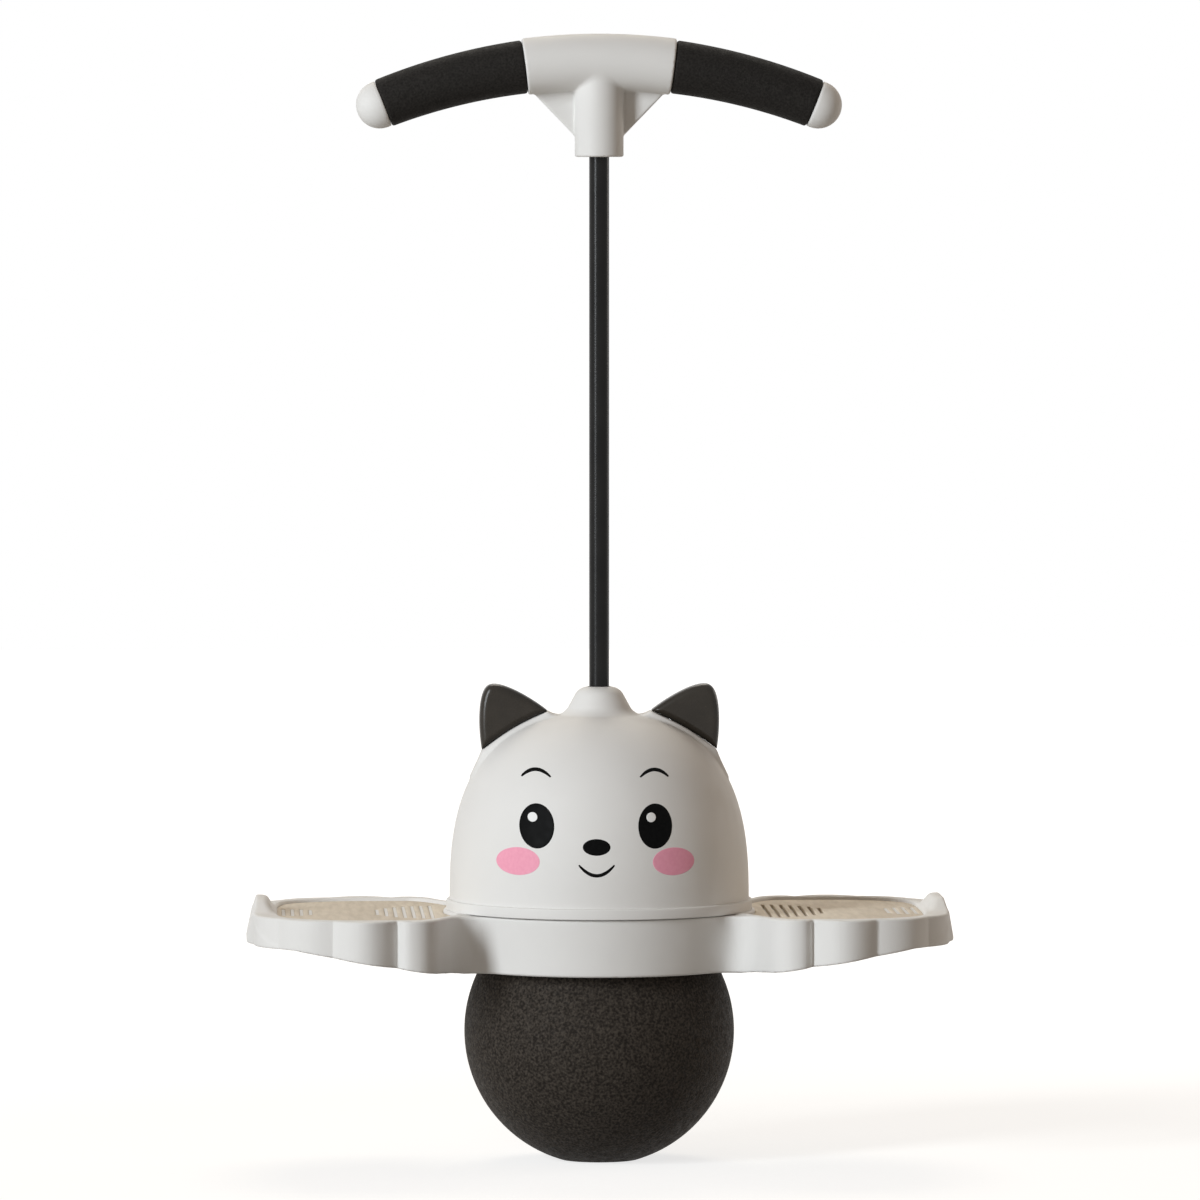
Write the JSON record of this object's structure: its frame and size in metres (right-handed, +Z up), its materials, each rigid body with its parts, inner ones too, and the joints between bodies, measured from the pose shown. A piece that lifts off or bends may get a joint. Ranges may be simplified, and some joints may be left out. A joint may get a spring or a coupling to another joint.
{
  "type": "pogo ball",
  "caption": "Stand-on pogo ball: a waisted ball held in a deck with winged pedals, under an eared dome that carries a pole with a T-handle.",
  "frame": {"origin": "middle of the ball's flat contact patch on the floor", "axes": "+Z up along the pole, +X towards the right pedal seen from the front, -Y towards the front"},
  "size_m": [0.4236, 0.2064, 0.675],
  "materials": {
    "ball_rubber": "matte charcoal rubber with a fine woven grain",
    "valve_rubber": "matte black rubber",
    "shell_plastic": "satin warm light grey moulding",
    "ear_plastic": "satin charcoal moulding",
    "grip_foam": "dense matte black foam",
    "pad_rubber": "matte tan anti-slip sheet",
    "pole_paint": "satin black powder coat",
    "fastener_steel": "zinc-plated steel"
  },
  "bodies": {
    "ball": {"ball": "ball_rubber", "ball_valve": "valve_rubber"},
    "frame": {"deck": "shell_plastic", "dome": "shell_plastic", "dome_screw_1": "fastener_steel", "dome_screw_2": "fastener_steel", "dome_screw_3": "fastener_steel", "dome_screw_4": "fastener_steel", "dome_screw_5": "fastener_steel", "dome_screw_6": "fastener_steel", "handle_cross_screw": "fastener_steel", "handle_front_shell": "shell_plastic", "handle_rear_shell": "shell_plastic", "handle_screw_left": "fastener_steel", "handle_screw_right": "fastener_steel", "left_ear": "ear_plastic", "left_ear_screw_1": "fastener_steel", "left_ear_screw_2": "fastener_steel", "left_end_cap": "shell_plastic", "left_grip": "grip_foam", "left_pad": "pad_rubber", "pole": "pole_paint", "pole_bolt": "fastener_steel", "pole_end_plug": "fastener_steel", "pole_washer": "fastener_steel", "right_ear": "ear_plastic", "right_ear_screw_1": "fastener_steel", "right_ear_screw_2": "fastener_steel", "right_end_cap": "shell_plastic", "right_grip": "grip_foam", "right_pad": "pad_rubber"}
  },
  "joints": [
    {"name": "bounce", "type": "slide", "parent": "ball", "child": "frame", "axis": [0, 0, 1], "range_m": [-0.03, 0], "stiffness_N_per_m": 15000, "deforming": ["ball"]}
  ]
}
